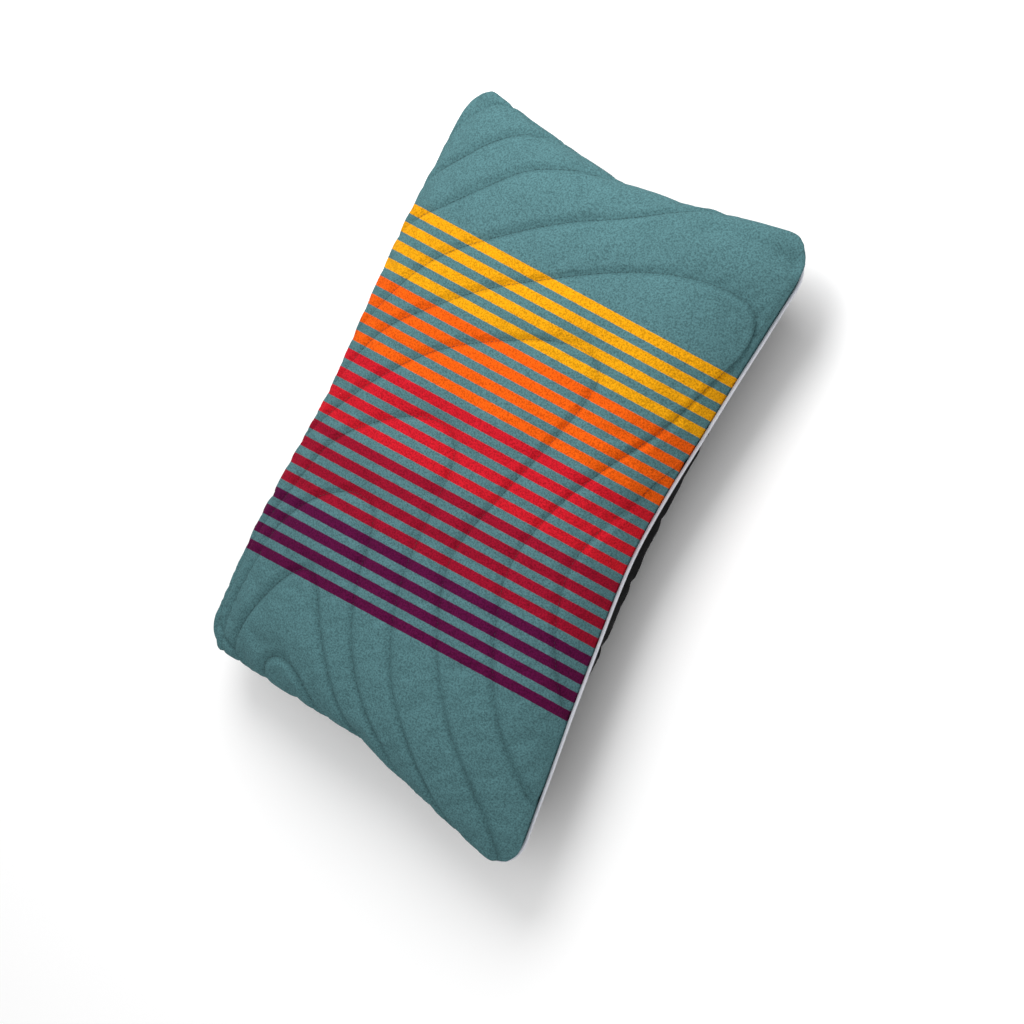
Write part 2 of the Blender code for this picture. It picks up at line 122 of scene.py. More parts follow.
ZIP_Z = (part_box("zip_slider")[0][2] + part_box("zip_slider")[1][2]) / 2
CLEARANCE = 0.0003  # between neighbouring pieces
WINDOW_HALF = 0.0065  # half height of the slot in the back panel that shows the zip
SLOT_END = 0.68  # where it has closed, as a fraction of the panel's half width
SLOT_TAPER = 0.06  # over which it closes
SLOT_SHIFT = 0.05  # of its middle towards -X, because the corners differ
SLIT_HALF = 0.0017  # half the slit left beside the slot, as a fraction of the panel's half length
LIP_END = (0.094, 0.012)  # where the slot's edges stop reaching in to the tapes, and over what length
LIP_LEAST = 0.0010  # how far they turn in beyond that
LIP_CLOSE = 0.08  # how far they close on the zip on their way in, as a share of their distance
INSERT_INSET = 0.0125  # the insert's seam inside the case's seam
INSERT_PULL = 0.0265  # how far its corners pull in
TAPE_END = 0.0125  # how far the tapes run on past the ends of their CAD nodes, under the cloth
EASE_LENGTH = 14.0  # mm from a panel's edge over which its relief grows to full depth
GROOVE_HALF = 3.5  # half width in mm of the dip that a line of quilting pulls in
SNAP_REACH = 0.55  # cells within which a grid point is moved to a line of quilting
SNAP = 0.85  # how far a grid point near a line of quilting moves to it; 1 could fold two into one
HALF_U, HALF_V = 168.0, 240.0  # half sizes of the flat panel, in millimetres of fabric

# ---------------------------------------------------------------- quilting lines, in fabric mm (u, v)
FRONT_QUILTING = [
    [(-168, 180), (-150, 190), (-135, 204), (-124, 222), (-118, 240)],
    [(-168, 126), (-150, 141), (-133, 156), (-116, 171), (-100, 189), (-84, 206), (-70, 222), (-58, 240)],
    [(-168, 75), (-148, 100), (-126, 122), (-100, 143), (-77, 167), (-56, 190), (-30, 208), (15, 240)],
    [(-168, -20), (-142, 24), (-118, 60), (-88, 105), (-46, 145), (-4, 178), (44, 201), (100, 240)],
    [(-168, -66), (-150, -32), (-129, 2), (-104, 44), (-69, 79), (-27, 117), (18, 146), (67, 166), (110, 173),
     (140, 171), (157, 164), (159, 150), (147, 119), (133, 78), (115, 44), (97, 7), (85, -27), (82, -50),
     (91, -87), (107, -124), (132, -155), (168, -184)],
    [(168, 74), (158, 56), (146, 32), (132, 6), (124, -20), (125, -45), (133, -72), (148, -98), (168, -122)],
    [(-168, -112), (-148, -72), (-124, -32), (-85, 18), (-45, 59), (0, 89), (36, 103), (62, 104), (76, 92),
     (77, 76), (69, 38), (56, 0), (41, -41), (37, -65), (44, -93), (59, -125), (82, -155), (107, -178),
     (133, -204), (158, -240)],
    [(-158, -240), (-146, -190), (-134, -135), (-116, -84), (-101, -41), (-67, -7), (-32, 13), (-10, 15),
     (4, 2), (7, -33), (7, -84), (14, -119), (31, -157), (56, -183), (81, -203), (105, -222), (122, -240)],
    [(-140, -240), (-130, -190), (-120, -150), (-110, -111), (-89, -79), (-58, -59), (-38, -62), (-29, -84),
     (-24, -111), (-9, -151), (14, -184), (41, -204), (62, -220), (84, -240)],
    [(-118, -240), (-110, -194), (-94, -159), (-76, -131), (-65, -124), (-54, -130), (-35, -157), (-15, -185),
     (6, -210), (34, -240)],
    [(-84, -240), (-79, -212), (-73, -197), (-60, -190), (-47, -193), (-34, -204), (-20, -221), (-8, -240)],
    [(-168, -186), (-150, -200), (-136, -207), (-120, -211), (-108, -220), (-102, -240)],
]
FOLDS = [  # path, depth in metres and half width in mm of each soft crease in the fleece
    ([(84, 204), (108, 206), (132, 207), (158, 217)], 0.0050, 7.0),
    ([(12, 195), (23, 202), (40, 211), (57, 220)], 0.0026, 5.5),
]
BACK_QUILTING = [
    [(-168, v - 12), (-90, v + 6), (0, v - 4), (90, v + 8), (168, v - 2)]
    for v in (-188, -128, -72, -24, 24, 84, 146)
]


def spline(points, step=1.0):
    """Points every step along a smooth curve through the given ones."""
    p = np.array(points, float)
    p = np.vstack([2 * p[0] - p[1], p, 2 * p[-1] - p[-2]])
    knots = np.concatenate([[0], np.cumsum(np.linalg.norm(np.diff(p, axis=0), axis=1) ** 0.5)])
    pieces = []
    for i in range(1, len(p) - 2):
        t0, t1, t2, t3 = knots[i - 1 : i + 3]
        count = max(2, int(np.linalg.norm(p[i + 1] - p[i]) / step))
        t = np.linspace(t1, t2, count, endpoint=False)[:, None]
        a1 = (t1 - t) / (t1 - t0) * p[i - 1] + (t - t0) / (t1 - t0) * p[i]
        a2 = (t2 - t) / (t2 - t1) * p[i] + (t - t1) / (t2 - t1) * p[i + 1]
        a3 = (t3 - t) / (t3 - t2) * p[i + 1] + (t - t2) / (t3 - t2) * p[i + 2]
        b1 = (t2 - t) / (t2 - t0) * a1 + (t - t0) / (t2 - t0) * a2
        b2 = (t3 - t) / (t3 - t1) * a2 + (t - t1) / (t3 - t1) * a3
        pieces.append((t2 - t) / (t2 - t1) * b1 + (t - t1) / (t2 - t1) * b2)
    return np.vstack([*pieces, p[-2:-1]])


# ---------------------------------------------------------------- the pillow's surface
def bow(t):
    e = BOW_SHARPNESS
    return (np.sqrt(t * t + e * e) - e) / (math.sqrt(1 + e * e) - e)


def superellipse(t, power):
    return np.clip(1 - np.abs(t) ** power, 0, None) ** (1 / power)


def arc_table(power, half, high):
    angle = np.linspace(math.pi / 2, 0, 600)
    x = np.cos(angle) ** (2 / power)
    z = np.sin(angle) ** (2 / power)
    run = np.concatenate([[0], np.cumsum(np.hypot(half * np.diff(x), high * np.diff(z)))])
    return run / run[-1], x


ARC_X = arc_table(CROWN_POWER_X, WAIST, FRONT_RISE)
ARC_Y = arc_table(CROWN_POWER_Y, TOP_DIP, FRONT_RISE)


def plan_fractions(sigma, tau):
    """Plan fractions of fabric fractions: cloth on the walls is spaced by its arc length."""
    along_x = np.sign(sigma) * np.interp(np.abs(sigma), *ARC_X)
    along_y = np.sign(tau) * np.interp(np.abs(tau), *ARC_Y)
    s = sigma + (along_x - sigma) * (1 - tau**6)
    t = tau + (along_y - tau) * (1 - sigma**6)
    return s, t


def round_corner(s, t):
    rs, rt = CORNER_RADIUS / NOMINAL_HALF[0], CORNER_RADIUS / NOMINAL_HALF[1]
    ds = np.clip((np.abs(s) - (1 - rs)) / rs, 0, 1)
    dt = np.clip((np.abs(t) - (1 - rt)) / rt, 0, 1)
    inside = (ds > 0) & (dt > 0)
    s_round = np.sign(s) * (1 - rs + rs * ds * np.sqrt(1 - dt * dt / 2))
    t_round = np.sign(t) * (1 - rt + rt * dt * np.sqrt(1 - ds * ds / 2))
    return np.where(inside, s_round, s), np.where(inside, t_round, t)


def outline_point(s, t, waist=WAIST, ends=(TOP_DIP, BOTTOM_DIP), inset=0.0, pull=(0.0, 0.0)):
    """Plan position of fractions (s, t), between four bowed sides. pull brings the corners in."""
    s, t = round_corner(s, t)

    def corner(a, b):
        x, y = CORNERS[(a, b)]
        return x - a * pull[0], y - b * pull[1]

    reach = waist - inset
    top, bottom = ends[0] - inset, ends[1] - inset
    right = reach + (np.where(t > 0, corner(1, 1)[0], corner(1, -1)[0]) - reach) * bow(t)
    left = -reach + (np.where(t > 0, corner(-1, 1)[0], corner(-1, -1)[0]) + reach) * bow(t)
    far = top + (np.where(s > 0, corner(1, 1)[1], corner(-1, 1)[1]) - top) * bow(s)
    near = -bottom + (np.where(s > 0, corner(1, -1)[1], corner(-1, -1)[1]) + bottom) * bow(s)
    return (left * (1 - s) + right * (1 + s)) / 2, (near * (1 - t) + far * (1 + t)) / 2


def crown(s, t, pinch):
    amount, power = pinch
    dome = superellipse(s, CROWN_POWER_X) * superellipse(t, CROWN_POWER_Y)
    return dome * (1 - amount * (s * s * t * t) ** power)


def smoothstep(x):
    x = np.clip(x, 0, 1)
    return x * x * (3 - 2 * x)


def front_surface(sigma, tau):
    """The front rolls out over the seams of its two ends."""
    s, t = plan_fractions(sigma, tau)
    x, y = outline_point(s, t)
    rise = (FRONT_RISE - RIM_RISE) * crown(s, t, FRONT_PINCH)
    out = smoothstep(rise / ROLL_HEIGHT)
    roll = np.where(t > 0, TOP_ROLL, -BOTTOM_ROLL) * np.abs(t) ** 6
    y = y + roll * out
    for (a, b), (across, along) in CORNER_ROLLS.items():
        near = out * smoothstep((b * t - 0.5) / 0.45) * np.clip(a * s, 0, 1) ** 4
        x, y = x + across * near, y + along * near
    return np.stack([x, y, SEAM_Z + RIM_RISE + rise], axis=-1)


def back_surface(sigma, tau):
    """The back slopes in under the seam, bulges past it at mid length, and is flat where it rests."""
    s, t = plan_fractions(sigma, tau)
    amount, power = BACK_PINCH
    section = (1 - np.abs(s) ** BACK_POWERS[0]) * superellipse(t, BACK_POWERS[1])
    drop = (BACK_DROP - RIM_RISE) * section * (1 - amount * (s * s * t * t) ** power)
    x, y = outline_point(s, t)
    deep_x, deep_y = outline_point(s, t, DEEP_WAIST, DEEP_ENDS, pull=DEEP_PULL)
    share = smoothstep(drop / DEEP_START)
    z = np.maximum(SEAM_Z - RIM_RISE - drop, 0.0)
    return np.stack([x + (deep_x - x) * share, y + (deep_y - y) * share, z], axis=-1)


def outward(surface, sigma, tau, upward):
    """Unit normals of a surface, out of the pillow."""
    step = 2e-3
    a, b = np.clip(sigma - step, -1, 1), np.clip(sigma + step, -1, 1)
    c, d = np.clip(tau - step, -1, 1), np.clip(tau + step, -1, 1)
    normal = np.cross(surface(b, tau) - surface(a, tau), surface(sigma, d) - surface(sigma, c))
    normal /= np.maximum(np.linalg.norm(normal, axis=-1, keepdims=True), 1e-12)
    return normal if upward else -normal


# ---------------------------------------------------------------- mesh helpers
def link(name, mesh):
    made = bpy.data.objects.new(name, mesh)
    scene.collection.objects.link(made)
    return made


def mesh_from(name, points, faces, smooth=True):
    mesh = bpy.data.meshes.new(name)
    mesh.from_pydata([tuple(p) for p in points], [], [tuple(f) for f in faces])
    mesh.update()
    if smooth:
        mesh.shade_smooth()
    return link(name, mesh)


def grid_faces(columns, rows, flip=False):
    """Quads of a grid whose points run along rows first."""
    i, j = np.meshgrid(np.arange(columns - 1), np.arange(rows - 1), indexing="ij")
    a = (i * rows + j).ravel()
    quads = np.stack([a, a + rows, a + rows + 1, a + 1], axis=1)
    return quads[:, ::-1] if flip else quads


def tube_faces(along, around, closed):
    i, j = np.meshgrid(np.arange(along if closed else along - 1), np.arange(around), indexing="ij")
    i, j = i.ravel(), j.ravel()
    k, m = (i + 1) % along, (j + 1) % around
    return np.stack([i * around + j, i * around + m, k * around + m, k * around + j], axis=1)


def set_points(obj, points):
    obj.data.vertices.foreach_set("co", np.asarray(points, np.float32).ravel())
    obj.data.update()


def get_points(mesh):
    flat = np.empty(len(mesh.vertices) * 3, np.float32)
    mesh.vertices.foreach_get("co", flat)
    return flat.reshape(-1, 3).astype(float)


def attribute(obj, name, values):
    values = np.asarray(values, np.float32)
    kind, key = ("FLOAT", "value") if values.ndim == 1 else ("FLOAT_VECTOR", "vector")
    layer = obj.data.attributes.new(name, kind, "POINT")
    layer.data.foreach_set(key, values.ravel())


def finish_piece(obj, material, body, slot, *replaced):
    obj.data.materials.clear()
    obj.data.materials.append(material)
    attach(obj, body)
    if replaced:
        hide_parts(*replaced)


def inflate(obj, pinned, pressure, slack, cap, frames=22):
    """Blows a sheet of cloth up between its pinned points. slack is how much longer the cloth is than
    its start shape, which puckers it, and cap how far a point may move."""
    start = get_points(obj.data)
    group = obj.vertex_groups.new(name="pin")
    group.add([int(i) for i in np.flatnonzero(pinned)], 1.0, "REPLACE")
    cloth = obj.modifiers.new("cloth", "CLOTH")
    setting = cloth.settings
    setting.quality = 5
    setting.mass = 0.05
    setting.tension_stiffness = 12
    setting.compression_stiffness = 12
    setting.shear_stiffness = 4
    setting.bending_stiffness = 0.4
    setting.air_damping = 2.0
    setting.vertex_group_mass = "pin"
    setting.shrink_min = -slack
    setting.use_pressure = True
    setting.uniform_pressure_force = pressure
    setting.effector_weights.gravity = 0
    cloth.collision_settings.use_collision = False
    cloth.point_cache.frame_start = 1
    cloth.point_cache.frame_end = frames
    for number in range(1, frames + 1):
        scene.frame_set(number)
    evaluated = obj.evaluated_get(bpy.context.evaluated_depsgraph_get())
    moved = get_points(evaluated.data)
    obj.modifiers.remove(cloth)
    obj.vertex_groups.remove(group)
    scene.frame_set(1)
    shift = moved - start
    length = np.linalg.norm(shift, axis=1, keepdims=True)
    shift *= np.tanh(length / cap) * cap / np.maximum(length, 1e-9)
    set_points(obj, start + shift)
    print(obj.name, "moved", float(length.mean()) * 1000, float(length.max()) * 1000, "mm")


# ---------------------------------------------------------------- quilted panels
def fold_depth(flat):
    """How far the cloth sinks at each flat position, in its creases."""
    total = np.zeros(len(flat))
    for path, depth, half_width in FOLDS:
        line = spline(path)
        near = np.sqrt(((flat[:, None, :] - line[None, ::3, :]) ** 2).sum(axis=2)).min(axis=1)
        total += depth * np.exp(-((near / half_width) ** 2))
    return total


def quilted_panel(name, surface, upward, quilting, limits, cells, depth, pressure, slack, cap):
    """A panel of cloth puffed up between its lines of quilting. depth is how far the lines sink."""
    columns, rows = cells
    u = np.linspace(-HALF_U, HALF_U, columns)
    share = np.linspace(0, 1, rows)
    low, high = limits(u / HALF_U)
    uu = np.repeat(u[:, None], rows, axis=1)
    vv = (low[:, None] + (high - low)[:, None] * share[None, :]) * HALF_V
    edge = np.zeros((columns, rows), bool)
    edge[[0, -1], :] = True
    edge[:, [0, -1]] = True
    lines = [spline(line) for line in quilting]
    points = np.vstack(lines)
    tree = KDTree(len(points))
    for i, p in enumerate(points):
        tree.insert((p[0], p[1], 0), i)
    tree.balance()
    flat = np.stack([uu.ravel(), vv.ravel()], axis=1)
    distance = np.empty(len(flat))
    nearest = np.empty((len(flat), 2))
    for i, p in enumerate(flat):
        place, _, distance[i] = tree.find((p[0], p[1], 0))
        nearest[i] = place[:2]
    cell = 2 * HALF_U / (columns - 1)
    snapped = (distance < SNAP_REACH * cell) & ~edge.ravel()
    flat[snapped] += SNAP * (nearest[snapped] - flat[snapped])
    distance[snapped] = 0
    sigma, tau = np.clip(flat[:, 0] / HALF_U, -1, 1), np.clip(flat[:, 1] / HALF_V, -1, 1)
    base = surface(sigma, tau)
    normal = outward(surface, sigma, tau, upward)
    to_edge = np.minimum.reduce(
        [HALF_U - np.abs(flat[:, 0]), flat[:, 1] - np.repeat(low * HALF_V, rows),
         np.repeat(high * HALF_V, rows) - flat[:, 1]]
    )
    ease = np.clip(to_edge / EASE_LENGTH, 0, 1)
    sink = depth * np.exp(-((distance / GROOVE_HALF) ** 2)) * (0.25 + 0.75 * ease)
    if upward:
        sink += fold_depth(flat) * ease
    start = base - normal * sink[:, None]
    faces = grid_faces(columns, rows, flip=not upward)
    panel = mesh_from(name, start, faces)
    inflate(panel, snapped | edge.ravel(), pressure, slack, cap)
    # painted shade: how near each point lies to a line of quilting, so the fleece can be darkened there as if
    # shade fell in the groove
    attribute(panel, "painted_groove_shade", np.exp(-((distance / 1.3) ** 2)))
    cloth_mm = np.stack([sigma * HALF_U, tau * HALF_V, sigma * 0], axis=1)
    return panel, cloth_mm, lines


def whole_panel(sigma):
    return np.full_like(sigma, -1.0), np.full_like(sigma, 1.0)


def slot_edge(sigma, side):
    """Fabric fraction along Y of the zip slot's lower (-1) or upper (+1) edge."""
    tau = np.linspace(0.60, 1.0, 500)
    beside = np.abs(sigma + SLOT_SHIFT)
    opening = smoothstep((SLOT_END - beside) / SLOT_TAPER)
    half = CLEARANCE + (WINDOW_HALF - CLEARANCE) * opening
    level = np.array(
        [np.interp(ZIP_Z + side * h, back_surface(s, tau)[:, 2], tau) for s, h in zip(sigma, half)]
    )
    middle = np.interp(ZIP_Z, back_surface(0.0, tau)[:, 2], tau)
    settle = smoothstep((beside - SLOT_END + SLOT_TAPER) / (2 * SLOT_TAPER))
    return level + (middle + side * SLIT_HALF - level) * settle


def main_limits(sigma):
    return np.full_like(sigma, -1.0), slot_edge(sigma, -1)


def facing_limits(sigma):
    return slot_edge(sigma, +1), np.full_like(sigma, 1.0)


# ---------------------------------------------------------------- materials
class Shader:
    """A node material built up from named pieces."""

    def __init__(self, name, roughness=0.8, sheen=0.0, metallic=0.0, shine=0.5):
        self.material = bpy.data.materials.new(name)
        self.material.use_nodes = True
        self.tree = self.material.node_tree
        self.out = self.tree.nodes["Principled BSDF"]
        self.out.inputs["Roughness"].default_value = roughness
        self.out.inputs["Metallic"].default_value = metallic
        self.out.inputs["Sheen Weight"].default_value = sheen
        self.out.inputs["Sheen Roughness"].default_value = 0.5
        self.out.inputs["Specular IOR Level"].default_value = shine

    def node(self, kind, settings=(), **inputs):
        made = self.tree.nodes.new(kind)
        for key, value in dict(settings).items():
            setattr(made, key, value)
        for key, value in inputs.items():
            socket = made.inputs[int(key[1:])] if key[0] == "i" and key[1:].isdigit() else made.inputs[key]
            self.feed(socket, value)
        return made

    def feed(self, socket, value):
        if isinstance(value, bpy.types.NodeSocket):
            self.tree.links.new(value, socket)
        else:
            socket.default_value = value

    def math(self, operation, a, b=0.0, c=0.0):
        return self.node("ShaderNodeMath", {"operation": operation}, i0=a, i1=b, i2=c).outputs[0]

    def smooth(self, value, low, high, start=0.0, end=1.0):
        made = self.node("ShaderNodeMapRange", {"interpolation_type": "SMOOTHSTEP"})
        for i, v in enumerate((value, low, high, start, end)):
            self.feed(made.inputs[i], v)
        return made.outputs[0]

    def noise(self, scale, detail=2.0, roughness=0.5, vector=None):
        made = self.node("ShaderNodeTexNoise", Scale=scale, Detail=detail, Roughness=roughness)
        self.feed(made.inputs["Vector"], vector or self.place())
        return made.outputs["Fac"]

    def place(self):
        return self.node("ShaderNodeTexCoord").outputs["Object"]

    def attribute(self, name, output="Fac"):
        return self.node("ShaderNodeAttribute", {"attribute_name": name}).outputs[output]

    def mix(self, share, a, b, blend="MIX"):
        made = self.node("ShaderNodeMix", {"data_type": "RGBA", "blend_type": blend})
        for i, v in ((0, share), (6, a), (7, b)):
            self.feed(made.inputs[i], (*v, 1.0) if isinstance(v, tuple) and len(v) == 3 else v)
        return made.outputs[2]

    def bump(self, height, distance, strength=1.0, normal=None):
        made = self.node("ShaderNodeBump", Strength=strength, Distance=distance, Height=height)
        if normal is not None:
            self.feed(made.inputs["Normal"], normal)
        return made.outputs["Normal"]

    def colour(self, value):
        self.feed(self.out.inputs["Base Color"], (*value, 1.0) if isinstance(value, tuple) else value)
        return self

    def normal(self, value):
        self.feed(self.out.inputs["Normal"], value)
        return self


TEAL = (0.068, 0.152, 0.164)
STRIPE_COLOURS = [
    (0.620, 0.270, 0.004),
    (0.640, 0.085, 0.004),
    (0.440, 0.009, 0.018),
    (0.235, 0.005, 0.019),
    (0.075, 0.004, 0.036),
]
STRIPES = 20
STRIPE_SHARE = 0.54  # of the pitch


def fleece():
    """Short brushed pile, printed with stripes. The attribute stripe counts them from the first."""
    s = Shader("fleece", roughness=1.0, shine=0.05)
    fine, grain, cloud = s.noise(900, 3, 0.6), s.noise(420, 2, 0.55), s.noise(38, 2)
    number = s.math("MULTIPLY_ADD", s.math("SUBTRACT", grain, 0.5), 0.045, s.attribute("stripe"))
    shifted = s.math("ADD", number, 0.5)
    off_centre = s.math("ABSOLUTE", s.math("SUBTRACT", s.math("FRACT", shifted), 0.5))
    on = s.smooth(off_centre, STRIPE_SHARE / 2 - 0.02, STRIPE_SHARE / 2 + 0.02, 1.0, 0.0)
    inside = s.math("MULTIPLY", s.math("GREATER_THAN", shifted, 0.0), s.math("LESS_THAN", shifted, STRIPES))
    ramp = s.node("ShaderNodeValToRGB", Fac=s.math("DIVIDE", shifted, STRIPES))
    ramp.color_ramp.interpolation = "CONSTANT"
    stops = ramp.color_ramp.elements
    while len(stops) < len(STRIPE_COLOURS):
        stops.new(1.0)
    for i, (stop, paint) in enumerate(zip(stops, STRIPE_COLOURS)):
        stop.position = i / len(STRIPE_COLOURS)
        stop.color = (*paint, 1.0)
    printed = s.mix(s.math("MULTIPLY", on, inside), TEAL, ramp.outputs["Color"])
    speck = s.smooth(s.noise(800, 3, 0.65), 0.34, 0.60, 0.64, 1.10)
    mottle = s.math("MULTIPLY", speck, s.math("MULTIPLY_ADD", fine, 0.7, 0.70))
    mottle = s.math("MULTIPLY", mottle, s.math("MULTIPLY_ADD", cloud, 0.16, 0.92))
    # painted shade: the fleece is darkened by up to a fifth along the lines of quilting, where the grooves
    # sink
    mottle = s.math("MULTIPLY", mottle, s.math("MULTIPLY_ADD", s.attribute("painted_groove_shade"), -0.20, 1.0))
    grey = s.node("ShaderNodeCombineColor", i0=mottle, i1=mottle, i2=mottle).outputs[0]
    s.colour(s.mix(1.0, printed, grey, "MULTIPLY"))
    s.normal(s.bump(fine, 0.0005, 0.6, s.bump(grain, 0.0008, 0.6)))
    return s.material


def woven(name, colour, thread, roughness, sheen, shine=0.5, depth=0.0002, ripstop=0.0, light=1.35):
    """Plain weave from the attribute cloth_mm, with threads of that width in mm. ripstop is the
    spacing in mm of its heavier threads, and light how bright they are."""
    s = Shader(name, roughness=roughness, sheen=sheen, shine=shine)
    axes = s.node("ShaderNodeSeparateXYZ", Vector=s.attribute("cloth_mm", "Vector")).outputs
    waves = [s.math("SINE", s.math("MULTIPLY", axis, math.pi / thread)) for axis in (axes[0], axes[1])]
    weave = s.math("MULTIPLY", waves[0], waves[1])
    shade = s.math("MULTIPLY_ADD", weave, 0.12, s.math("MULTIPLY_ADD", s.noise(60, 3), 0.3, 0.85))
    height = weave
    if ripstop:
        ribs = []
        for axis in (axes[0], axes[1]):
            across = s.math("FRACT", s.math("DIVIDE", axis, ripstop))
            ribs.append(s.smooth(s.math("ABSOLUTE", s.math("SUBTRACT", across, 0.5)), 0.42, 0.5))
        rib = s.math("MAXIMUM", *ribs)
        shade = s.math("MULTIPLY_ADD", rib, light - 1, shade)
        height = s.math("MULTIPLY_ADD", rib, 1.5, weave)
    grey = s.node("ShaderNodeCombineColor", i0=shade, i1=shade, i2=shade).outputs[0]
    s.colour(s.mix(1.0, colour, grey, "MULTIPLY"))
    s.normal(s.bump(height, depth, 0.8))
    return s.material


def fibre_thread(name, colour):
    s = Shader(name, roughness=0.9)
    fibre = s.noise(2500, 4, 0.7)
    shade = s.math("MULTIPLY_ADD", fibre, 0.4, 0.8)
    grey = s.node("ShaderNodeCombineColor", i0=shade, i1=shade, i2=shade).outputs[0]
    s.colour(s.mix(1.0, colour, grey, "MULTIPLY"))
    s.normal(s.bump(fibre, 0.0004))
    return s.material


def enamel(name, colour, metallic, roughness):
    """Painted die-cast metal or moulded plastic, slightly uneven and rubbed on its edges."""
    s = Shader(name, roughness=roughness, metallic=metallic)
    uneven = s.noise(500, 3)
    worn = s.smooth(s.node("ShaderNodeNewGeometry").outputs["Pointiness"], 0.53, 0.60)
    s.colour(s.mix(s.math("MULTIPLY", worn, 0.5), colour, (0.35, 0.35, 0.36)))
    s.feed(s.out.inputs["Roughness"], s.math("MULTIPLY_ADD", uneven, 0.2, roughness - 0.1))
    s.normal(s.bump(uneven, 0.00005, 0.5))
    return s.material


FLEECE = fleece()
RIPSTOP = woven(
    "ripstop", (0.0035, 0.0035, 0.004), 0.5, 0.7, 0.0, shine=0.10, depth=0.0003, ripstop=5.0, light=1.6
)
PIPING = woven("piping", (0.70, 0.71, 0.77), 0.55, 0.85, 0.05, shine=0.2)
ZIP_TAPE = woven("zip_tape", (0.014, 0.014, 0.015), 0.6, 0.8, 0.1)
INSERT_CLOTH = woven("insert_cloth", (0.45, 0.47, 0.48), 0.5, 0.75, 0.1)
LABEL = woven("label", (0.78, 0.78, 0.77), 0.25, 0.5, 0.1)
TEAL_THREAD = fibre_thread("teal_thread", (0.020, 0.045, 0.049))
COIL = enamel("coil", (0.016, 0.016, 0.017), 0.0, 0.4)
METAL = enamel("slider_metal", (0.06, 0.06, 0.065), 0.9, 0.38)


# ---------------------------------------------------------------- stitches
def stitches(name, paths, normals, length, gap, radius, material, slot):
    """A row of thread stitches along each path, sunk at both ends. Paths and normals are in metres."""
    sides = 6
    # share of the length, thickness and height of each ring, the last two in radii
    profile = [(0.0, 0.35, -0.9), (0.16, 0.9, -0.15), (0.5, 1.0, 0.1), (0.84, 0.9, -0.15), (1.0, 0.35, -0.9)]
    angle = np.linspace(0, 2 * math.pi, sides, endpoint=False)
    points, faces = [], []
    for line, upward in zip(paths, normals):
        run = np.concatenate([[0], np.cumsum(np.linalg.norm(np.diff(line, axis=0), axis=1))])
        for start in np.arange(gap, run[-1] - length, length + gap):
            where = [start + f * length for f, _, _ in profile]
            centre = np.stack([np.interp(where, run, line[:, k]) for k in range(3)], axis=1)
            lift = np.stack([np.interp(where, run, upward[:, k]) for k in range(3)], axis=1)
            ahead = centre[-1] - centre[0]
            ahead /= np.linalg.norm(ahead)
            side = np.cross(ahead, lift)
            side /= np.linalg.norm(side, axis=1, keepdims=True)
            lift = np.cross(side, ahead)
            first = len(points)
            for (_, size, height), c, n, w in zip(profile, centre, lift, side):
                for a in angle:
                    up, across = height + size * math.sin(a), size * math.cos(a)
                    points.append(c + n * radius * up + w * radius * across)
            faces += (tube_faces(len(profile), sides, False) + first).tolist()
            faces += [[first + k for k in range(sides)][::-1],
                      [first + (len(profile) - 1) * sides + k for k in range(sides)]]
    made = mesh_from(name, points, faces)
    make_outward(made)
    finish_piece(made, material, "case", slot)


def make_outward(obj):
    bm = bmesh.new()
    bm.from_mesh(obj.data)
    bmesh.ops.recalc_face_normals(bm, faces=bm.faces[:])
    bm.to_mesh(obj.data)
    bm.free()


def laid_on(panel, surface, upward, lines, step, margin):
    """Paths of fabric lines as they lie on the finished panel, with the normals there."""
    mesh = panel.data
    tree = BVHTree.FromPolygons([v.co[:] for v in mesh.vertices], [p.vertices[:] for p in mesh.polygons])
    paths, normals = [], []
    for line in lines:
        keep = (np.abs(line[:, 0]) < HALF_U - margin) & (np.abs(line[:, 1]) < HALF_V - margin)
        line = line[keep][::step]
        if len(line) < 3:
            continue
        sigma, tau = line[:, 0] / HALF_U, line[:, 1] / HALF_V
        base, normal = surface(sigma, tau), outward(surface, sigma, tau, upward)
        path = []
        for p, n in zip(base, normal):
            hit = tree.ray_cast(Vector(p + n * 0.015), Vector(-n), 0.04)[0]
            path.append(hit[:] if hit else p)
        paths.append(np.array(path))
        normals.append(normal)
    return paths, normals


# ---------------------------------------------------------------- front and back
def stripe_number(points):
    """Which printed stripe a point lies on, counting from 0: they fan slightly towards +X."""
    first, pitch = 0.1284, 0.0139
    tilt, fan = -0.017, 0.0036
    lean, lean_fan = 0.079, 0.0054
    x, y, z = points.T
    return (first + tilt * x + lean * z - y) / (pitch - fan * x - lean_fan * z)


def build_front():
    panel, _, lines = quilted_panel(
        "front_panel", front_surface, True, FRONT_QUILTING, whole_panel, cells=(145, 207),
        depth=0.0031, pressure=4.2, slack=0.016, cap=0.0038,
    )
    attribute(panel, "stripe", stripe_number(get_points(panel.data)))
    tuck_seam(panel, SEAM_Z + TUCK_HEIGHT)
    finish_piece(panel, FLEECE, "case", "fleece", "front_fleece_panel", "front_batting", "front_lining")
    paths, normals = laid_on(panel, front_surface, True, lines, 2, 4)
    stitches("front_quilting_thread", paths, normals, 0.0024, 0.0008, 0.00013, TEAL_THREAD, "fleece")


def tuck_seam(panel, z):
    """Turns the panel's seam edge in towards the piping."""
    bm = bmesh.new()
    bm.from_mesh(panel.data)
    rim = [e for e in bm.edges if e.is_boundary and abs(e.verts[0].co.z - SEAM_Z) < 0.004]
    made = bmesh.ops.extrude_edge_only(bm, edges=rim)["geom"]
    for v in (g for g in made if isinstance(g, bmesh.types.BMVert)):
        v.co.x -= math.copysign(EDGE_TUCK, v.co.x)
        v.co.y -= math.copysign(EDGE_TUCK, v.co.y)
        v.co.z = z
    bmesh.ops.recalc_face_normals(bm, faces=bm.faces[:])
    bm.to_mesh(panel.data)
    bm.free()
    panel.data.shade_smooth()


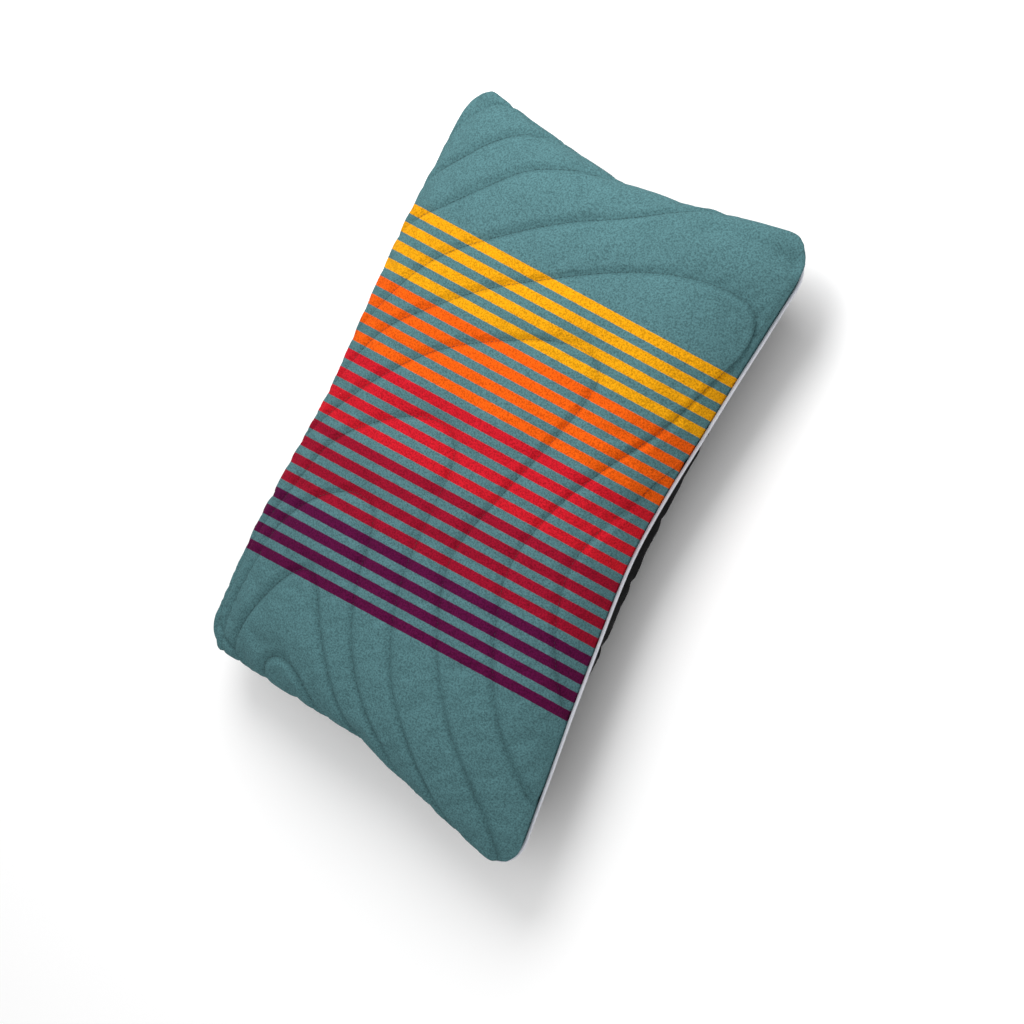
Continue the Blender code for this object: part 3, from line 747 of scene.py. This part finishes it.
def turn_in_slot(panel):
    """Turns the edges of the zip's slot in to the tapes, or a little way in beside the zip."""
    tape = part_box("zip_tape_upper")[1][1] + CLEARANCE
    bm = bmesh.new()
    bm.from_mesh(panel.data)
    rim = [e for e in bm.edges if e.is_boundary and all(v.co.z < SEAM_Z - 0.006 for v in e.verts)]
    made = bmesh.ops.extrude_edge_only(bm, edges=rim)["geom"]
    for v in (g for g in made if isinstance(g, bmesh.types.BMVert)):
        beside = smoothstep((abs(v.co.x) - LIP_END[0]) / LIP_END[1])
        v.co.y -= max((v.co.y - tape) * (1 - beside), LIP_LEAST)
        v.co.z += (ZIP_Z - v.co.z) * LIP_CLOSE
    bmesh.ops.recalc_face_normals(bm, faces=bm.faces[:])
    bm.to_mesh(panel.data)
    bm.free()
    panel.data.shade_smooth()


def build_back():
    panel, cloth_mm, _ = quilted_panel(
        "back_panel_cloth", back_surface, False, BACK_QUILTING, main_limits, cells=(101, 141),
        depth=0.0012, pressure=2.0, slack=0.010, cap=0.0018,
    )
    points = get_points(panel.data)
    points[:, 2] = np.maximum(points[:, 2], 0.0002)
    set_points(panel, points)
    attribute(panel, "cloth_mm", cloth_mm)
    tuck_seam(panel, SEAM_Z - TUCK_HEIGHT)
    turn_in_slot(panel)
    finish_piece(panel, RIPSTOP, "case", "ripstop", "back_panel", "back_batting", "back_lining")


def build_facing():
    columns, rows = 101, 9
    u = np.linspace(-1, 1, columns)
    low, high = facing_limits(u)
    sigma = np.repeat(u[:, None], rows, axis=1)
    tau = low[:, None] + (high - low)[:, None] * np.linspace(0, 1, rows)[None, :]
    points = back_surface(sigma.ravel(), tau.ravel())
    strip = mesh_from("zip_facing_cloth", points, grid_faces(columns, rows, flip=True))
    cloth_mm = np.stack([sigma.ravel() * HALF_U, tau.ravel() * HALF_V, sigma.ravel() * 0], axis=1)
    attribute(strip, "cloth_mm", cloth_mm)
    tuck_seam(strip, SEAM_Z - TUCK_HEIGHT)
    turn_in_slot(strip)
    finish_piece(strip, RIPSTOP, "case", "ripstop", "zip_facing")


# ---------------------------------------------------------------- piping
def seam_outline(count, offset):
    """Evenly spaced points along the seam, moved out from the cloth's edge, with outward normals."""
    side = np.linspace(-1, 1, 400, endpoint=False)
    one = np.ones_like(side)
    s = np.concatenate([side, one, -side, -one])
    t = np.concatenate([-one, side, one, -side])
    line = np.stack(outline_point(s, t), axis=-1)
    gap = np.linalg.norm(np.diff(line, axis=0, append=line[:1]), axis=1)
    run = np.concatenate([[0], np.cumsum(gap)])
    closed = np.vstack([line, line[:1]])
    even = np.linspace(0, run[-1], count, endpoint=False)
    line = np.stack([np.interp(even, run, closed[:, k]) for k in range(2)], axis=1)
    along = np.roll(line, -1, axis=0) - np.roll(line, 1, axis=0)
    along /= np.linalg.norm(along, axis=1, keepdims=True)
    normal = np.stack([along[:, 1], -along[:, 0]], axis=1)
    return line + normal * offset, normal, run[-1]


def build_piping():
    count, around = 640, 14
    line, normal, total = seam_outline(count, PIPING_OFFSET)
    angle = np.linspace(0, 2 * math.pi, around, endpoint=False)
    points, cloth = [], []
    for i in range(count):
        far = total * 1000 * i / count
        wobble = 1 + 0.035 * noise.noise(Vector((far * 0.09, 0, 0)))
        wobble += 0.02 * noise.noise(Vector((far * 0.5, 3, 0)))
        lift = 0.0005 * noise.noise(Vector((far * 0.02, 7, 0)))
        for a in angle:
            r = PIPING_RADIUS * wobble
            x, y = line[i] + normal[i] * r * math.cos(a)
            points.append((x, y, SEAM_Z + PIPING_RISE + lift + r * math.sin(a)))
            round_mm = PIPING_RADIUS * 1000 * (a if a < math.pi else a - 2 * math.pi)
            cloth.append((far + round_mm, far - round_mm, 0))
    piping = mesh_from("piping", points, tube_faces(count, around, True))
    make_outward(piping)
    attribute(piping, "cloth_mm", np.array(cloth))
    finish_piece(piping, PIPING, "case", "piping", "piping_cover", "piping_core")


# ---------------------------------------------------------------- zip
def coil_row(name, node, lean):
    """One row of coil teeth: a helix of round wire, inside the row's box."""
    low, high = (Vector(c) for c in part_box(node))
    wire, pitch, around, sides = 0.00024, 0.00115, 12, 5
    centre_y, centre_z = (low.y + high.y) / 2, (low.z + high.z) / 2
    reach = (high.y - low.y) / 2 - wire
    turns = int((high.x - low.x - 2 * wire) / pitch)
    a = np.arange(turns * around + 1) * 2 * math.pi / around
    line = np.stack([
        low.x + wire + pitch * a / (2 * math.pi) + lean * 0.0002 * np.cos(a),
        centre_y + reach * np.sin(a),
        centre_z + reach * np.cos(a),
    ], axis=1)
    ahead = np.gradient(line, axis=0)
    ahead /= np.linalg.norm(ahead, axis=1, keepdims=True)
    out = np.stack([0 * a, np.sin(a), np.cos(a)], axis=1)
    side = np.cross(ahead, out)
    side /= np.linalg.norm(side, axis=1, keepdims=True)
    out = np.cross(side, ahead)
    ring = np.linspace(0, 2 * math.pi, sides, endpoint=False)
    points = line[:, None, :] + wire * (
        np.cos(ring)[None, :, None] * out[:, None, :] + np.sin(ring)[None, :, None] * side[:, None, :]
    )
    last = (len(line) - 1) * sides
    faces = tube_faces(len(line), sides, False).tolist()
    faces += [list(range(sides))[::-1], [last + k for k in range(sides)]]
    made = mesh_from(name, points.reshape(-1, 3), faces)
    make_outward(made)
    finish_piece(made, COIL, "case", "zip_coil", node)


def zip_tape(name, node):
    """A woven tape, gently rippled, more towards its inner edge."""
    low, high = (Vector(c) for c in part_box(node))
    low.x, high.x = low.x - TAPE_END, high.x + TAPE_END
    columns, rows = 161, 9
    inner_low = abs(low.z - ZIP_Z) < abs(high.z - ZIP_Z)
    points, cloth = [], []
    for side in (1, 0):
        for i in range(columns):
            x = low.x + (high.x - low.x) * i / (columns - 1)
            for j in range(rows):
                f = j / (rows - 1)
                z = low.z + (high.z - low.z) * f
                inward = f if inner_low else 1 - f
                ripple = 0.00006 * math.sin(x * 420 + 5 * f) * inward
                y = high.y - 0.00008 - ripple if side else low.y
                points.append((x, y, z))
                cloth.append((x * 1000, z * 1000, 0))
    size = columns * rows
    faces = grid_faces(columns, rows, flip=True).tolist()
    faces += (grid_faces(columns, rows) + size).tolist()
    rim = [i * rows for i in range(columns)] + [(columns - 1) * rows + j for j in range(1, rows)]
    rim += [i * rows + rows - 1 for i in range(columns - 2, -1, -1)] + [j for j in range(rows - 2, 0, -1)]
    for a, b in zip(rim, rim[1:] + rim[:1]):
        faces.append([a, b, b + size, a + size])
    made = mesh_from(name, points, faces, smooth=False)
    make_outward(made)
    attribute(made, "cloth_mm", np.array(cloth))
    finish_piece(made, ZIP_TAPE, "case", "zip_tape", node)


def rounded_plate(bm, centre, outline, thickness, bevel):
    """A plate in the XZ plane: an outline thickened along Y, with rounded edges."""
    verts = [bm.verts.new((centre[0] + x, centre[1] - thickness / 2, centre[2] + z)) for x, z in outline]
    face = bm.faces.new(verts)
    made = bmesh.ops.extrude_face_region(bm, geom=[face])["geom"]
    new = [g for g in made if isinstance(g, bmesh.types.BMVert)]
    bmesh.ops.translate(bm, vec=(0, thickness, 0), verts=new)
    edges = {e for v in verts + new for e in v.link_edges}
    bmesh.ops.bevel(bm, geom=list(edges), offset=bevel, segments=3, profile=0.5, affect="EDGES")


def build_slider():
    """The slider: two waisted plates, the neck between them, and the bridge that holds the tab."""
    low, high = (Vector(c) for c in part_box("zip_slider"))
    x, z = (low.x + high.x) / 2, (low.z + high.z) / 2
    tape_low, row_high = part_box("zip_tape_upper")[0][1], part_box("zip_coil_upper")[1][1]
    plate = 0.0012
    inner, outer = tape_low - 0.0003 - plate / 2, row_high + 0.0003 + plate / 2
    half_x, half_z = (high.x - low.x) / 2, (high.z - low.z) / 2
    outline = [
        (half_x, half_z * 0.80), (half_x * 0.55, half_z), (-half_x * 0.2, half_z * 0.86),
        (-half_x * 0.75, half_z * 0.72), (-half_x, half_z * 0.45), (-half_x, -half_z * 0.45),
        (-half_x * 0.75, -half_z * 0.72), (-half_x * 0.2, -half_z * 0.86), (half_x * 0.55, -half_z),
        (half_x, -half_z * 0.80),
    ]
    bm = bmesh.new()
    for y in (inner, outer):
        rounded_plate(bm, (x, y, z), outline, plate, 0.00025)
    neck = [(0.0010, 0.0003), (0.0010, -0.0003), (0.0040, -0.0003), (0.0040, 0.0003)]
    rounded_plate(bm, (x, (inner + outer) / 2, z), neck, outer - inner, 0.0001)
    face = outer + plate / 2
    reach, top = 0.0032, high.y
    bar, half_width = 0.0008, 0.0008
    path = [(-reach, face - 0.0003), (-reach, top - 0.0009), (-reach + 0.0009, top), (reach - 0.0009, top),
            (reach, top - 0.0009), (reach, face - 0.0003)]
    inside = [(-reach + bar, face - 0.0003), (-reach + bar, top - 0.0011), (-reach + 0.0011, top - bar),
              (reach - 0.0011, top - bar), (reach - bar, top - 0.0011), (reach - bar, face - 0.0003)]
    ring = path + inside[::-1]
    verts = [bm.verts.new((x + a, b, z - half_width)) for a, b in ring]
    arch = bm.faces.new(verts)
    made = bmesh.ops.extrude_face_region(bm, geom=[arch])["geom"]
    new = [g for g in made if isinstance(g, bmesh.types.BMVert)]
    bmesh.ops.translate(bm, vec=(0, 0, 2 * half_width), verts=new)
    edges = {e for v in verts + new for e in v.link_edges}
    bmesh.ops.bevel(bm, geom=list(edges), offset=0.00012, segments=2, profile=0.5, affect="EDGES")
    bmesh.ops.recalc_face_normals(bm, faces=bm.faces[:])
    mesh = bpy.data.meshes.new("zip_slider_body")
    bm.to_mesh(mesh)
    bm.free()
    mesh.shade_smooth()
    mesh.set_sharp_from_angle(angle=math.radians(50))
    finish_piece(link("zip_slider_body", mesh), METAL, "slider", "slider_metal", "zip_slider")


def build_tab():
    """The pull tab: a waisted bar with a rounded end, a hole for the bridge and a slot to grip."""
    low, high = (Vector(c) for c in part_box("zip_pull_tab"))
    half, thick = (high.z - low.z) / 2, high.y - low.y
    centre = Vector((high.x, (low.y + high.y) / 2, (low.z + high.z) / 2))
    length = high.x - low.x
    end = [(-length + half * (1 - math.cos(a)), -half * math.sin(a)) for a in np.linspace(-1.45, 1.45, 15)]
    outline = [(0, -half * 0.9), (0, half * 0.9), (-0.0052, half), (-0.0085, half * 0.74)] + end
    outline += [(-0.0085, -half * 0.74), (-0.0052, -half)]
    hole = [(-0.0012, 0.0012), (-0.0012, -0.0012), (-0.0053, -0.0012), (-0.0053, 0.0012)]
    turn = np.linspace(0, 2 * math.pi, 17)[:-1]
    grip = [(-0.0125 + 0.0035 * math.cos(a), 0.0011 * math.sin(a)) for a in turn]
    curve = bpy.data.curves.new("zip_tab", "CURVE")
    curve.dimensions = "2D"
    curve.fill_mode = "BOTH"
    rounding = 0.00018
    curve.bevel_depth = rounding
    curve.bevel_resolution = 2
    curve.extrude = thick / 2 - rounding
    curve.offset = -rounding
    for points in (outline, hole, grip):
        loop = curve.splines.new("POLY")
        loop.points.add(len(points) - 1)
        for target, (a, b) in zip(loop.points, points):
            target.co = (a, b, 0, 1)
        loop.use_cyclic_u = True
    shape = link("zip_tab_curve", curve)
    shape.matrix_world = Matrix.Translation(centre) @ Matrix.Rotation(math.pi / 2, 4, "X")
    bpy.context.view_layer.update()
    mesh = bpy.data.meshes.new_from_object(shape.evaluated_get(bpy.context.evaluated_depsgraph_get()))
    mesh.transform(shape.matrix_world)
    bpy.data.objects.remove(shape)
    mesh.shade_smooth()
    mesh.set_sharp_from_angle(angle=math.radians(50))
    finish_piece(link("zip_tab", mesh), METAL, "pull", "slider_metal", "zip_pull_tab")


def build_zip():
    for name, lean in (("upper", 1), ("lower", -1)):
        coil_row(f"zip_teeth_{name}", f"zip_coil_{name}", lean)
        zip_tape(f"zip_tape_{name}_cloth", f"zip_tape_{name}")
    for name in ("zip_top_stop_upper", "zip_top_stop_lower", "zip_bottom_stop"):
        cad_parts[name].data.materials.clear()
        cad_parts[name].data.materials.append(METAL)
    build_slider()
    build_tab()


# ---------------------------------------------------------------- insert and label
def build_insert():
    """The filled insert: a closed, softly creased cushion in the space inside the case."""
    top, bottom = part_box("insert_cover_top")[1][2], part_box("insert_cover_bottom")[0][2]
    columns, rows = 61, 85
    sigma, tau = np.meshgrid(np.linspace(-1, 1, columns), np.linspace(-1, 1, rows), indexing="ij")
    sigma, tau = sigma.ravel(), tau.ravel()
    bm = bmesh.new()
    for height in (top - SEAM_Z, bottom - SEAM_Z):
        s, t = plan_fractions(sigma, tau)
        x, y = outline_point(s, t, inset=INSERT_INSET, pull=(INSERT_PULL, INSERT_PULL))
        level = height * crown(s, t, FRONT_PINCH)
        crease = np.array([noise.noise(Vector((a * 30, b * 30, height))) for a, b in zip(x, y)])
        z = SEAM_Z + level * (0.985 - 0.03 * np.abs(crease))
        verts = [bm.verts.new(p) for p in zip(x, y, z)]
        for a, b, c, d in grid_faces(columns, rows, flip=height < 0):
            bm.faces.new((verts[a], verts[b], verts[c], verts[d]))
    bmesh.ops.remove_doubles(bm, verts=bm.verts[:], dist=1e-6)
    bmesh.ops.recalc_face_normals(bm, faces=bm.faces[:])
    mesh = bpy.data.meshes.new("insert_cushion")
    bm.to_mesh(mesh)
    bm.free()
    mesh.shade_smooth()
    cushion = link("insert_cushion", mesh)
    attribute(cushion, "cloth_mm", get_points(mesh) * 1000)
    insides = ("insert_cover_top", "insert_cover_bottom", "insert_fill")
    finish_piece(cushion, INSERT_CLOTH, "case", "insert_cloth", *insides)


def build_label():
    low, high = (Vector(c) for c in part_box("care_label"))
    columns, rows = 13, 9
    points = []
    for i in range(columns):
        for j in range(rows):
            a, b = i / (columns - 1), j / (rows - 1)
            curl = 0.0009 * (1 - b) ** 2 * math.sin(a * math.pi)
            points.append((low.x + (high.x - low.x) * a, low.y - curl, low.z + (high.z - low.z) * b))
    label = mesh_from("care_label_cloth", points, grid_faces(columns, rows))
    attribute(label, "cloth_mm", np.array(points)[:, [0, 2, 1]] * 1000)
    finish_piece(label, LABEL, "case", "label", "care_label")


# ---------------------------------------------------------------- floor, light and backdrop
def area_light(name, towards, size, power, distance):
    data = bpy.data.lights.new(name, "AREA")
    data.shape = "DISK"
    data.size = size
    data.energy = power
    lamp = bpy.data.objects.new(name, data)
    scene.collection.objects.link(lamp)
    towards = Vector(towards).normalized()
    lamp.location = TARGET + towards * distance
    lamp.rotation_euler = towards.to_track_quat("Z", "Y").to_euler()


def build_studio():
    floor = mesh_from("floor", [(-4, -4, 0), (4, -4, 0), (4, 4, 0), (-4, 4, 0)], [(0, 1, 2, 3)], smooth=False)
    s = Shader("floor", roughness=0.9)
    s.colour((0.94, 0.94, 0.94))
    floor.data.materials.append(s.material)
    world = bpy.data.worlds.new("studio")
    scene.world = world
    world.use_nodes = True
    world.node_tree.nodes["Background"].inputs["Color"].default_value = (1, 1, 1, 1)
    world.node_tree.nodes["Background"].inputs["Strength"].default_value = 0.84
    area_light("key", CAMERA_UP * 0.9 - CAMERA_RIGHT * 0.35 + TOWARDS_CAMERA * 0.7, 0.7, 6.4, 0.85)
    scene.view_settings.view_transform = "Standard"


build_studio()
build_front()
build_back()
build_facing()
build_piping()
build_zip()
build_insert()
build_label()
